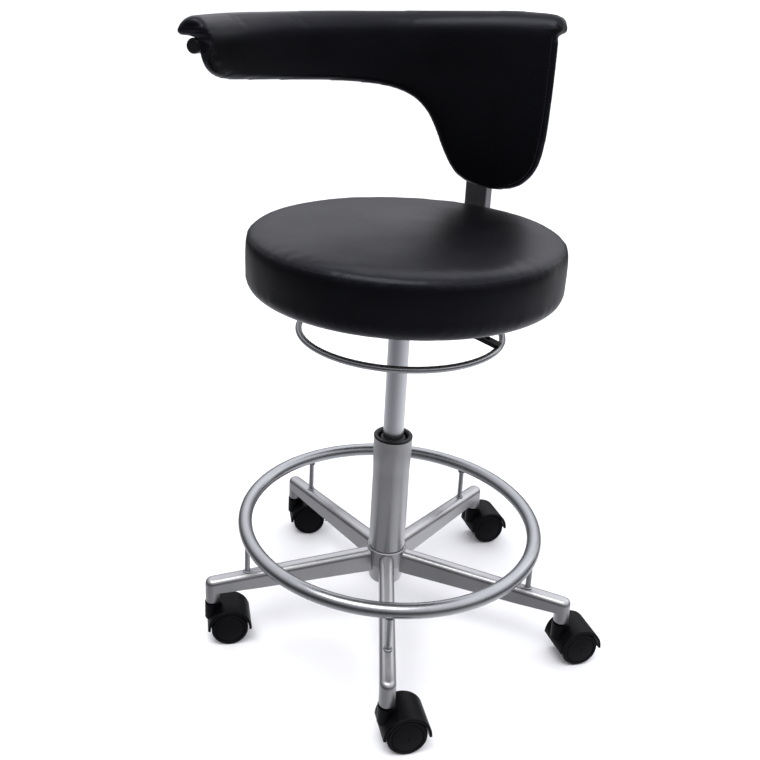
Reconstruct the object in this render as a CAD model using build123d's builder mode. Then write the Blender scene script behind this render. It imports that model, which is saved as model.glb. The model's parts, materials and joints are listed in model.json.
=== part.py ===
from build123d import *
import math
import os

# Dentist's stool: five-leg base on twin-wheel casters, gas lift, foot ring, round seat,
# ring release and a swinging arm pad. Millimetres, +Z up, floor at z = 0, lift axis on Z,
# front leg towards -Y.
os.makedirs("parts", exist_ok=True)

# ---------- driving dimensions ----------
leg_count = 5
first_leg = -90.0             # azimuth of the front leg, degrees
leg_width = 20.0
boss_circle = 249.0           # radius of the circle of caster sockets
boss_radius = 10.0
boss_bottom = 58.0
leg_start = 22.0              # the legs' inner ends, inside the hub
leg_top_at_hub = 110.5
leg_top_at_tip = 94.2
leg_under_at_hub = 79.0
leg_under = 75.5
leg_edge = 7.5                # rounding of the legs' top edges
hub_radius = 27.6
hub_top = 114.0
hub_bottom = 60.0
hub_bore = 16.0

wheel_radius = 25.0
wheel_width = 16.5
web_half = 5.2                # half thickness of the hood's middle web
hood_radius = 30.0
hood_half_width = 24.0
caster_trail = 22.0           # stem axis to wheel axle
caster_headings = (13.0, 17.0, 18.0, 10.0, 12.0)   # azimuths in which the casters trail
axle_radius = 3.0
axle_end = 20.2               # half length of the axle
stem_radius = 5.5
stem_length = 32.0            # inside the leg's socket
pin_radius = 4.0              # lower part of the stem, in the hood
pin_bottom = 36.0

foot_ring_radius = 201.0
foot_ring_height = 155.0
foot_tube_radius = 9.5
post_radius = 3.5

column_radius = 25.0
column_bore = 22.0
column_bottom = 80.0
column_top = 284.8
column_flare = 26.1           # radius of the widened top of the column
flare_start = 232.0
flare_end = 268.0
collar_top = 287.5
collar_skirt = 262.0          # lower end of the collar's part inside the column
bush_bottom = 205.0
bush_radius = 19.9            # upper part of the bush, inside the collar
bearing_height = 66.0         # top of the end plug that carries the lift
clip_bottom = 57.6
clip_thickness = 2.1

lift_radius = 14.0            # gas cylinder, outside
lift_bottom = 192.0
lift_cone_start = 430.0
lift_top = 450.0
rod_radius = 5.0
rod_neck = 4.2                # under the clip
piston_bottom = 240.0
piston_height = 14.0
flange_bottom = 69.9
flange_top = 74.0
ball_radius = 1.9             # thrust bearing under the rod's flange
ball_circle = 9.5
release_pin_radius = 3.0
running = 0.05                # radial clearance of a running fit

housing_turn = -23.0          # azimuth of the release arm and its housing
housing_bottom = 438.0
housing_top = 476.0
cavity_bottom = 453.4
cavity_top = 471.0
neck_radius = 25.0
washer_radius = 36.0
washer_thickness = 2.0
plate_bottom = 494.0
board_bottom = 498.0
board_thickness = 12.0

wire_radius = 4.2             # release ring
wire_circle = 132.0
wire_height = 440.0
arm_width = 14.0
hinge_offset = 20.0
hinge_height = 464.0
hinge_pin_radius = 2.5
hinge_pin_half = 26.0

seat_radius = 202.5
seat_seam_height = 563.0
seat_crown_edge = (190.0, 572.5)   # radius and height where the crown meets the rolled edge
seat_top = 580.0
seat_corner = 20.0

strut_azimuth = 64.0
strut_front = 252.0           # distance of the strut's front face from the lift axis
strut_width = 34.0
strut_depth = 25.0
strut_wall = 2.0
strut_corner = 3.0
strut_top = 735.0
swing_bar_bottom = 480.0
swing_bar_thickness = 8.0
carrier_bottom = 640.0
carrier_height = 60.0

pad_centre = (39.7, -94.9)    # centre of the pad's curve, in plan
pad_front = 300.0             # radius of its padded face
pad_foam = 8.0
pad_board_thickness = 5.0
pad_right = 59.2              # azimuths of its ends, about pad_centre
pad_left = 162.6
pad_low = 588.0
roll_bottom = 800.0
roll_top = 834.0
roll_depth = 38.0
frame_tube_radius = 9.5
frame_tube_height = 788.5

leg_azimuths = [first_leg + i * 360.0 / leg_count for i in range(leg_count)]


def turned(azimuth, distance=1.0, centre=(0.0, 0.0)):
    """The point at an azimuth and a distance from a centre, in plan."""
    angle = math.radians(azimuth)
    return (centre[0] + distance * math.cos(angle), centre[1] + distance * math.sin(angle))


def upright(azimuth, centre=(0.0, 0.0)):
    """A vertical plane through centre: x runs out along the azimuth and y is up."""
    dx, dy = turned(azimuth)
    return Plane(origin=(centre[0], centre[1], 0), x_dir=(dx, dy, 0), z_dir=(dy, -dx, 0))


def facing(azimuth, centre=(0.0, 0.0)):
    """A vertical plane through centre whose normal points out along the azimuth."""
    dx, dy = turned(azimuth)
    return Plane(origin=(centre[0], centre[1], 0), x_dir=(-dy, dx, 0), z_dir=(dx, dy, 0))


def level(azimuth, height, centre=(0.0, 0.0)):
    """A horizontal plane at a height, with x along the azimuth."""
    dx, dy = turned(azimuth)
    return Plane(origin=(centre[0], centre[1], height), x_dir=(dx, dy, 0), z_dir=(0, 0, 1))


def save(builder, name):
    """Label a finished sub-part and write it."""
    builder.part.label = name
    export_step(builder.part, "parts/" + name + ".step")


# ---------- base ----------
with BuildPart() as leg:
    with BuildSketch(Plane.XY):
        with Locations(((boss_circle + leg_start) / 2, 0)):
            Rectangle(boss_circle - leg_start, leg_width)
        with Locations((boss_circle, 0)):
            Circle(boss_radius)
    extrude(amount=hub_top)
    with BuildSketch(Plane.XZ):
        with BuildLine():
            Polyline(
                (leg_start, leg_under_at_hub), (leg_start, leg_top_at_hub),
                (boss_circle + 12, leg_top_at_tip), (boss_circle + 12, leg_under),
                (190, leg_under), (leg_start, leg_under_at_hub)
            )
        make_face()
    extrude(amount=leg_width, both=True, mode=Mode.INTERSECT)
    top_face = leg.faces().sort_by(Axis.Z)[-1]
    fillet(top_face.edges().filter_by(lambda e: e.center().X > leg_start + 8), leg_edge)
    with BuildSketch(Plane.XY.offset(boss_bottom)):
        with Locations((boss_circle, 0)):
            Circle(boss_radius)
    extrude(amount=25)
    fillet(leg.faces().sort_by(Axis.Z)[0].edges(), 3.5)
    with BuildSketch(Plane.XY.offset(60)):
        with Locations((138, 0)):
            SlotOverall(188, 11)
    extrude(amount=27, mode=Mode.SUBTRACT)
    with BuildSketch(Plane.XY.offset(boss_bottom)):
        with Locations((boss_circle, 0)):
            Circle(stem_radius + running)
    extrude(amount=stem_length + 0.5, mode=Mode.SUBTRACT)

gap_radius = column_radius + 0.9      # fine gap between the column and the hub's rim
with BuildPart() as base_star:
    with BuildSketch(Plane.XZ):
        with BuildLine():
            Line((hub_bore, hub_bottom), (19, hub_bottom))
            ThreePointArc((19, hub_bottom), (21.9, 61.4), (23.2, 65))
            Polyline(
                (23.2, 65), (hub_radius, 90), (hub_radius, hub_top - 1.2), (hub_radius - 0.9, hub_top),
                (gap_radius, hub_top), (gap_radius, hub_top - 2.5), (hub_bore, hub_top - 2.5),
                (hub_bore, hub_bottom)
            )
        make_face()
    revolve(axis=Axis.Z)
    with PolarLocations(0, leg_count, start_angle=first_leg):
        add(leg.part)
    with BuildSketch(Plane.XY.offset(column_bottom)):
        Circle(column_radius + 0.02)
    extrude(amount=hub_top - column_bottom, mode=Mode.SUBTRACT)
    with BuildSketch(Plane.XY.offset(hub_bottom)):
        Circle(hub_bore)
    extrude(amount=column_bottom - hub_bottom, mode=Mode.SUBTRACT)
save(base_star, "base_star")

with BuildPart() as foot_ring:
    with BuildSketch(Plane.XZ):
        with Locations((foot_ring_radius, foot_ring_height)):
            Circle(foot_tube_radius)
            Circle(foot_tube_radius - 1.5, mode=Mode.SUBTRACT)
    revolve(axis=Axis.Z)
save(foot_ring, "foot_ring")

post_bottom = 93.0
with BuildPart() as foot_ring_posts:
    with BuildSketch(Plane.XY.offset(post_bottom)):
        with PolarLocations(foot_ring_radius, leg_count, start_angle=first_leg):
            Circle(post_radius)
    extrude(amount=foot_ring_height - foot_tube_radius + 1.2 - post_bottom)
save(foot_ring_posts, "foot_ring_posts")

with BuildPart() as column_tube:
    with BuildSketch(Plane.XZ):
        with BuildLine():
            Polyline(
                (column_bore, column_bottom), (column_radius, column_bottom), (column_radius, flare_start)
            )
            Spline(
                (column_radius, flare_start), (column_flare, flare_end), tangents=[(0, 1), (0, 1)]
            )
            Polyline(
                (column_flare, flare_end), (column_flare, column_top), (column_bore, column_top),
                (column_bore, column_bottom)
            )
        make_face()
    revolve(axis=Axis.Z)
save(column_tube, "column_tube")

with BuildPart() as column_collar:
    with BuildSketch(Plane.XZ):
        with BuildLine():
            Polyline(
                (bush_radius + 0.1, collar_skirt), (column_bore - 0.05, collar_skirt),
                (column_bore - 0.05, column_top), (26.4, column_top), (26.4, collar_top - 1.0),
                (25.4, collar_top), (21.6, collar_top), (bush_radius + 0.1, collar_top - 2.2),
                (bush_radius + 0.1, collar_skirt)
            )
        make_face()
    revolve(axis=Axis.Z)
save(column_collar, "column_collar")

with BuildPart() as column_bush:
    with BuildSketch(Plane.XZ):
        with BuildLine():
            Polyline(
                (lift_radius + running, bush_bottom), (column_bore - 0.05, bush_bottom),
                (column_bore - 0.05, collar_skirt), (bush_radius, collar_skirt), (bush_radius, 281),
                (16.6, 284), (lift_radius + running, 284), (lift_radius + running, bush_bottom)
            )
        make_face()
    revolve(axis=Axis.Z)
    with BuildSketch(Plane.XY.offset(276)):
        with PolarLocations(18, 8):
            Rectangle(3.2, 5)
    extrude(amount=10, mode=Mode.SUBTRACT)
save(column_bush, "column_bush")

with BuildPart() as column_end_plug:
    with BuildSketch(Plane.XY.offset(hub_bottom)):
        Circle(hub_bore - 0.05)
        Circle(rod_radius + running, mode=Mode.SUBTRACT)
    extrude(amount=bearing_height - hub_bottom)
save(column_end_plug, "column_end_plug")

with BuildPart() as thrust_balls:
    with Locations((0, 0, bearing_height + ball_radius)):
        with PolarLocations(ball_circle, 9):
            Sphere(ball_radius)
save(thrust_balls, "thrust_balls")

with BuildPart() as rod_clip:
    with BuildSketch(Plane.XY.offset(clip_bottom)):
        Circle(9)
        Circle(rod_neck, mode=Mode.SUBTRACT)
    extrude(amount=clip_thickness)
save(rod_clip, "rod_clip")

# ---------- lift ----------
clip_top = clip_bottom + clip_thickness
piston_bore = 4.0
with BuildPart() as piston_rod:
    with BuildSketch(Plane.XZ):
        with BuildLine():
            Polyline(
                (0, clip_bottom - 1.1), (rod_neck - 0.2, clip_bottom - 1.1), (rod_neck, clip_bottom),
                (rod_neck, clip_top), (rod_radius, clip_top), (rod_radius, flange_bottom),
                (13, flange_bottom), (13, flange_top), (rod_radius, flange_top),
                (rod_radius, piston_bottom), (piston_bore, piston_bottom),
                (piston_bore, piston_bottom + piston_height), (0, piston_bottom + piston_height),
                (0, clip_bottom - 1.1)
            )
        make_face()
    revolve(axis=Axis.Z)
save(piston_rod, "piston_rod")

lift_bore = lift_radius - 2
with BuildPart() as piston:
    with BuildSketch(Plane.XY.offset(piston_bottom)):
        Circle(lift_bore - running)
        Circle(piston_bore, mode=Mode.SUBTRACT)
    extrude(amount=piston_height)
save(piston, "piston")

release_pin_hole = release_pin_radius + running
with BuildPart() as gas_cylinder:
    with BuildSketch(Plane.XZ):
        with BuildLine():
            Polyline(
                (lift_bore, lift_bottom), (lift_radius, lift_bottom), (lift_radius, lift_cone_start),
                (lift_radius - 1, lift_top), (release_pin_hole, lift_top), (release_pin_hole, lift_top - 10),
                (0, lift_top - 10), (0, 400), (lift_bore, 400), (lift_bore, lift_bottom)
            )
        make_face()
    revolve(axis=Axis.Z)
save(gas_cylinder, "gas_cylinder")

with BuildPart() as rod_guide:
    with BuildSketch(Plane.XY.offset(lift_bottom)):
        Circle(lift_bore)
        Circle(rod_radius + running, mode=Mode.SUBTRACT)
    extrude(amount=14)
save(rod_guide, "rod_guide")

with BuildPart() as release_pin:
    with BuildSketch(Plane.XY.offset(lift_top - 5)):
        Circle(release_pin_radius)
    extrude(amount=11.1)
    fillet(release_pin.faces().sort_by(Axis.Z)[-1].edges(), 0.8)
save(release_pin, "release_pin")

with BuildPart() as mechanism_housing:
    with BuildSketch(level(housing_turn, housing_bottom)):
        RectangleRounded(50, 54, 5)
    with BuildSketch(level(housing_turn, housing_top)):
        RectangleRounded(62, 66, 7)
    loft()
    with BuildSketch(Plane.XY.offset(lift_cone_start + 1.5)):
        Circle(lift_radius + 2)
    extrude(amount=housing_bottom - lift_cone_start)
    with BuildSketch(Plane.XY.offset(housing_top)):
        Circle(neck_radius)
    extrude(amount=plate_bottom - housing_top)
    with BuildSketch(Plane.XZ):
        with BuildLine():
            Polyline(
                (0, lift_cone_start), (lift_radius, lift_cone_start), (lift_radius - 1, lift_top),
                (8, lift_top), (8, cavity_bottom), (0, cavity_bottom), (0, lift_cone_start)
            )
        make_face()
    revolve(axis=Axis.Z, mode=Mode.SUBTRACT)
    with BuildSketch(level(housing_turn, cavity_bottom)):
        Rectangle(44, 36)
    extrude(amount=cavity_top - cavity_bottom, mode=Mode.SUBTRACT)
    with BuildSketch(level(housing_turn, cavity_bottom - 2)):
        with Locations((hinge_offset + 12, 0)):
            Rectangle(30, arm_width + 6)
    extrude(amount=cavity_top - cavity_bottom + 2, mode=Mode.SUBTRACT)
    with BuildSketch(upright(housing_turn)):
        with Locations((hinge_offset, hinge_height)):
            Circle(hinge_pin_radius)
    extrude(amount=hinge_pin_half, both=True, mode=Mode.SUBTRACT)
save(mechanism_housing, "mechanism_housing")

with BuildPart() as release_hinge_pin:
    with BuildSketch(upright(housing_turn)):
        with Locations((hinge_offset, hinge_height)):
            Circle(hinge_pin_radius)
    extrude(amount=hinge_pin_half, both=True)
save(release_hinge_pin, "release_hinge_pin")

arm_end = wire_circle + 2
with BuildPart() as release_arm:
    with BuildSketch(upright(housing_turn)):
        with BuildLine():
            Polyline(
                (-4, 456.5), (50, 456.3), (104, 449.5), (arm_end, 440.5), (arm_end, 446),
                (106, 454.8), (52, 461.4), (27, 461.5), (25, 468.5), (15, 468.5), (13, 461.5),
                (-4, 461.5), (-4, 456.5)
            )
        make_face()
    extrude(amount=arm_width / 2, both=True)
    with BuildSketch(upright(housing_turn)):
        with Locations((hinge_offset, hinge_height)):
            Circle(hinge_pin_radius + running)
    extrude(amount=arm_width, both=True, mode=Mode.SUBTRACT)
    with BuildSketch(upright(housing_turn)):
        with BuildLine():
            Polyline((50, 459.8), (105, 453.2), (120, 448.7), (120, 470), (50, 470), (50, 459.8))
        make_face()
    extrude(amount=2.5, both=True, mode=Mode.SUBTRACT)
    with BuildSketch(Plane.XZ):
        with Locations((wire_circle, wire_height)):
            Circle(wire_radius - 0.1)
    revolve(axis=Axis.Z, mode=Mode.SUBTRACT)
save(release_arm, "release_arm")

with BuildPart() as release_ring:
    with BuildSketch(Plane.XZ):
        with Locations((wire_circle, wire_height)):
            Circle(wire_radius)
    revolve(axis=Axis.Z)
save(release_ring, "release_ring")

# ---------- seat ----------
with BuildPart() as swing_washers:
    for height in (housing_top, plate_bottom - washer_thickness):
        with BuildSketch(Plane.XY.offset(height)):
            Circle(washer_radius)
            Circle(neck_radius + running, mode=Mode.SUBTRACT)
        extrude(amount=washer_thickness)
save(swing_washers, "swing_washers")

screw_pitch = 110.0
with BuildPart() as seat_plate:
    with BuildSketch(level(housing_turn, plate_bottom)):
        RectangleRounded(150, 150, 12)
        with GridLocations(screw_pitch, screw_pitch, 2, 2):
            Circle(3.3, mode=Mode.SUBTRACT)
    extrude(amount=board_bottom - plate_bottom)
save(seat_plate, "seat_plate")

with BuildPart() as seat_screws:
    with BuildSketch(level(housing_turn, plate_bottom)):
        with GridLocations(screw_pitch, screw_pitch, 2, 2):
            Circle(3.0)
    extrude(amount=14)
    with BuildSketch(level(housing_turn, plate_bottom)):
        with GridLocations(screw_pitch, screw_pitch, 2, 2):
            Circle(5.5)
    extrude(amount=-3.2)
    with BuildSketch(level(housing_turn, plate_bottom - 3.2)):
        with GridLocations(screw_pitch, screw_pitch, 2, 2):
            RegularPolygon(2.4, 6)
    extrude(amount=1.8, mode=Mode.SUBTRACT)
save(seat_screws, "seat_screws")

with BuildPart() as seat_t_nuts:
    with BuildSketch(level(housing_turn, board_bottom + 2)):
        with GridLocations(screw_pitch, screw_pitch, 2, 2):
            Circle(4.0)
    extrude(amount=board_thickness - 2)
    with BuildSketch(level(housing_turn, board_bottom + board_thickness)):
        with GridLocations(screw_pitch, screw_pitch, 2, 2):
            Circle(9.0)
    extrude(amount=1.2)
    with BuildSketch(level(housing_turn, board_bottom)):
        with GridLocations(screw_pitch, screw_pitch, 2, 2):
            Circle(3.0)
    extrude(amount=20, mode=Mode.SUBTRACT)
save(seat_t_nuts, "seat_t_nuts")

with BuildPart() as seat_board:
    with BuildSketch(level(housing_turn, board_bottom)):
        Circle(seat_radius - seat_corner)
        with GridLocations(screw_pitch, screw_pitch, 2, 2):
            Circle(4.0, mode=Mode.SUBTRACT)
    extrude(amount=board_thickness)
save(seat_board, "seat_board")

board_radius = seat_radius - seat_corner
recess_top = board_bottom + board_thickness + 1.5
crown_rise = seat_top - seat_crown_edge[1]
crown_radius = (seat_crown_edge[0] ** 2 + crown_rise ** 2) / (2 * crown_rise)
crown_angle = math.degrees(math.asin(seat_crown_edge[0] / crown_radius))
corner_45 = seat_corner * math.sin(math.radians(45))
with BuildPart() as seat_cushion:
    with BuildSketch(Plane.XZ):
        with BuildLine():
            Polyline((0, recess_top), (board_radius + 0.3, recess_top), (board_radius + 0.3, board_bottom))
            corner = ThreePointArc(
                (board_radius + 0.3, board_bottom),
                (board_radius + corner_45, board_bottom + seat_corner - corner_45),
                (seat_radius, board_bottom + seat_corner)
            )
            wall = Line(corner @ 1, (seat_radius, seat_seam_height - 6))
            crown = CenterArc((0, seat_top - crown_radius), crown_radius, 90 - crown_angle, crown_angle)
            ThreePointArc(wall @ 1, (199.5, 566), crown @ 0)
            Line(crown @ 1, (0, recess_top))
        make_face()
    revolve(axis=Axis.Z)
save(seat_cushion, "seat_cushion")

# ---------- swinging arm ----------
with BuildPart() as swing_bar:
    with BuildSketch(Plane.XY.offset(housing_top + washer_thickness + 0.2)):
        Circle(washer_radius)
        Circle(neck_radius + running, mode=Mode.SUBTRACT)
    extrude(amount=plate_bottom - housing_top - 2 * washer_thickness - 0.4)
    with BuildSketch(level(strut_azimuth, swing_bar_bottom)):
        with Locations(((strut_front + strut_depth + washer_radius - 2) / 2, 0)):
            Rectangle(strut_front + strut_depth - washer_radius + 2, strut_width + 6)
        Circle(washer_radius - 6, mode=Mode.SUBTRACT)
    extrude(amount=swing_bar_thickness)
    fillet(swing_bar.edges().filter_by(Axis.Z).group_by(SortBy.DISTANCE)[-1], 6)
save(swing_bar, "swing_bar")

strut_middle = turned(strut_azimuth, strut_front + strut_depth / 2)
with BuildPart() as strut:
    with BuildSketch(level(strut_azimuth, swing_bar_bottom + swing_bar_thickness, strut_middle)):
        RectangleRounded(strut_depth, strut_width, strut_corner)
        RectangleRounded(strut_depth - 2 * strut_wall, strut_width - 2 * strut_wall, 1.5, mode=Mode.SUBTRACT)
    extrude(amount=strut_top - swing_bar_bottom - swing_bar_thickness)
save(strut, "strut")

with BuildPart() as strut_cap:
    with BuildSketch(level(strut_azimuth, strut_top, strut_middle)):
        RectangleRounded(strut_depth, strut_width, strut_corner)
    extrude(amount=3)
    fillet(strut_cap.faces().sort_by(Axis.Z)[-1].edges(), 1.4)
    with BuildSketch(level(strut_azimuth, strut_top, strut_middle)):
        RectangleRounded(strut_depth - 2 * strut_wall - 0.1, strut_width - 2 * strut_wall - 0.1, 1.5)
    extrude(amount=-10)
save(strut_cap, "strut_cap")

# ---------- arm pad ----------
pad_back = pad_front + pad_foam + pad_board_thickness
pad_axis = Axis(origin=(*pad_centre, 0), direction=(0, 0, 1))
paddle_plane = 66.0           # azimuths about pad_centre along which the outline is cut
corner_plane = 98.0


def across(azimuth, plane_azimuth):
    """Distance across a facing plane of a point of the pad's front at an azimuth."""
    return (pad_front + 6) * math.sin(math.radians(azimuth - plane_azimuth))


def pad_point(azimuth, height, plane_azimuth):
    return (across(azimuth, plane_azimuth), height)


def pad_layer(name, inner, outer):
    """One curved layer of the L-shaped pad: an arm with a paddle at its right end."""
    with BuildPart() as layer:
        with BuildSketch(upright(pad_right, pad_centre)):
            with Locations(((inner + outer) / 2, (pad_low + roll_bottom) / 2)):
                Rectangle(outer - inner, roll_bottom - pad_low)
        revolve(axis=pad_axis, revolution_arc=pad_left - pad_right)
        with BuildSketch(facing(paddle_plane, pad_centre)):
            with BuildLine():
                edge = Spline(
                    pad_point(pad_right, 700, paddle_plane), pad_point(60.2, 655, paddle_plane),
                    pad_point(63.0, 612, paddle_plane), pad_point(72.5, pad_low, paddle_plane),
                    tangents=[(0, -1), (1, 0)]
                )
                Polyline(edge @ 1, (edge @ 1 - Vector(0, 40)), (-80, pad_low - 40), (-80, 700), edge @ 0)
            make_face()
        extrude(amount=2 * pad_front, mode=Mode.SUBTRACT)
        with BuildSketch(facing(corner_plane, pad_centre)):
            with BuildLine():
                edge = Spline(
                    pad_point(73.5, pad_low, corner_plane), pad_point(82.3, 605, corner_plane),
                    pad_point(87.5, 650, corner_plane), pad_point(93.5, 705, corner_plane),
                    pad_point(104, 730, corner_plane), pad_point(120, 738, corner_plane),
                    tangents=[(1, 0), (1, 0.06)]
                )
                rise = Line(edge @ 1, pad_point(150, 746, corner_plane))
                tip = Spline(
                    rise @ 1, pad_point(158.5, 754, corner_plane), pad_point(pad_left, 774, corner_plane),
                    tangents=[(1, 0.1), (0.1, 1)]
                )
                Polyline(tip @ 1, (pad_front + 40, 774), (pad_front + 40, pad_low - 40),
                         (edge @ 0 - Vector(0, 40)), edge @ 0)
            make_face()
        extrude(amount=2 * pad_front, mode=Mode.SUBTRACT)
    save(layer, name)


pad_layer("pad_cushion", pad_front, pad_front + pad_foam)
pad_layer("pad_board", pad_front + pad_foam, pad_back)

with BuildPart() as pad_top_roll:
    with BuildSketch(upright(pad_right - 0.3, pad_centre)):
        with Locations((pad_front + roll_depth / 2, (roll_bottom + roll_top) / 2)):
            RectangleRounded(roll_depth, roll_top - roll_bottom, 12)
    revolve(axis=pad_axis, revolution_arc=pad_left - pad_right + 0.9)
save(pad_top_roll, "pad_top_roll")

frame_tube_circle = pad_back + frame_tube_radius
with BuildPart() as pad_frame_tube:
    with BuildSketch(upright(70, pad_centre)):
        with Locations((frame_tube_circle, frame_tube_height)):
            Circle(frame_tube_radius)
            Circle(frame_tube_radius - 2, mode=Mode.SUBTRACT)
    revolve(axis=pad_axis, revolution_arc=pad_left - 1.4 - 70)
save(pad_frame_tube, "pad_frame_tube")

with BuildPart() as pad_tube_plugs:
    for azimuth, outward in ((70, -1), (pad_left - 1.4, 1)):
        with BuildSketch(upright(azimuth, pad_centre)):
            with Locations((frame_tube_circle, frame_tube_height)):
                Circle(frame_tube_radius)
        extrude(amount=-4 * outward)
        with BuildSketch(upright(azimuth, pad_centre)):
            with Locations((frame_tube_circle, frame_tube_height)):
                Circle(frame_tube_radius - 2.3)
        extrude(amount=12 * outward)
    fillet(pad_tube_plugs.edges().filter_by(GeomType.CIRCLE).filter_by(
        lambda e: abs(e.radius - frame_tube_radius) < 0.01).sort_by_distance((0, 0, 0))[-1:], 3)
save(pad_tube_plugs, "pad_tube_plugs")

mount_azimuth = math.degrees(math.atan2(strut_middle[1] - pad_centre[1], strut_middle[0] - pad_centre[0]))
clamp_height = carrier_bottom + carrier_height / 2
clamp_radius = 4.0
carrier_wall = 4.0
with BuildPart() as pad_carrier:
    with BuildSketch(level(strut_azimuth, carrier_bottom, strut_middle)):
        RectangleRounded(strut_depth + 2 * carrier_wall, strut_width + 2 * carrier_wall, 4)
        with Locations((-strut_depth / 2 - 2 * carrier_wall, 0)):
            Rectangle(16, 22)
    extrude(amount=carrier_height)
    with BuildSketch(upright(mount_azimuth - 8, pad_centre)):
        with Locations((pad_back + carrier_wall / 2, clamp_height)):
            Rectangle(carrier_wall, carrier_height + 30)
    revolve(axis=pad_axis, revolution_arc=16)
    with BuildSketch(Plane.XY.offset(carrier_bottom - 40)):
        with Locations(pad_centre):
            Circle(pad_back)
    extrude(amount=carrier_height + 80, mode=Mode.SUBTRACT)
    with BuildSketch(level(strut_azimuth, carrier_bottom, strut_middle)):
        RectangleRounded(strut_depth + 0.2, strut_width + 0.2, strut_corner)
    extrude(amount=carrier_height, mode=Mode.SUBTRACT)
    with BuildSketch(facing(strut_azimuth).offset(strut_front + strut_depth)):
        with Locations((0, clamp_height)):
            Circle(clamp_radius + running)
    extrude(amount=20, mode=Mode.SUBTRACT)
save(pad_carrier, "pad_carrier")

screw_spread = 6.0            # azimuth from the carrier's middle to its screws
with BuildPart() as pad_screws:
    for azimuth in (mount_azimuth - screw_spread, mount_azimuth + screw_spread):
        for height in (carrier_bottom - 8, carrier_bottom + carrier_height + 8):
            outer_x, outer_y = turned(azimuth, pad_back + carrier_wall, pad_centre)
            dx, dy = turned(azimuth)
            with BuildSketch(Plane(origin=(outer_x, outer_y, height), z_dir=(dx, dy, 0))):
                Circle(5)
            extrude(amount=3)
    fillet(pad_screws.edges().filter_by(GeomType.CIRCLE).filter_by(
        lambda e: math.dist((e.center().X, e.center().Y), pad_centre) > pad_back + carrier_wall + 2), 1.2)
save(pad_screws, "pad_screws")

knob_plane = facing(strut_azimuth).offset(strut_front + strut_depth + carrier_wall + 2)
outwards = Axis(origin=(0, 0, 0), direction=(*turned(strut_azimuth), 0))
with BuildPart() as clamp_knob:
    with BuildSketch(knob_plane):
        with Locations((0, clamp_height)):
            Circle(21)
            with PolarLocations(24, 6):
                Circle(6, mode=Mode.SUBTRACT)
    extrude(amount=16)
    fillet(clamp_knob.faces().sort_by(outwards)[-1].edges(), 2.5)
    with BuildSketch(knob_plane):
        with Locations((0, clamp_height)):
            Circle(clamp_radius)
    extrude(amount=-(carrier_wall + 1.8))
save(clamp_knob, "clamp_knob")

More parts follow.
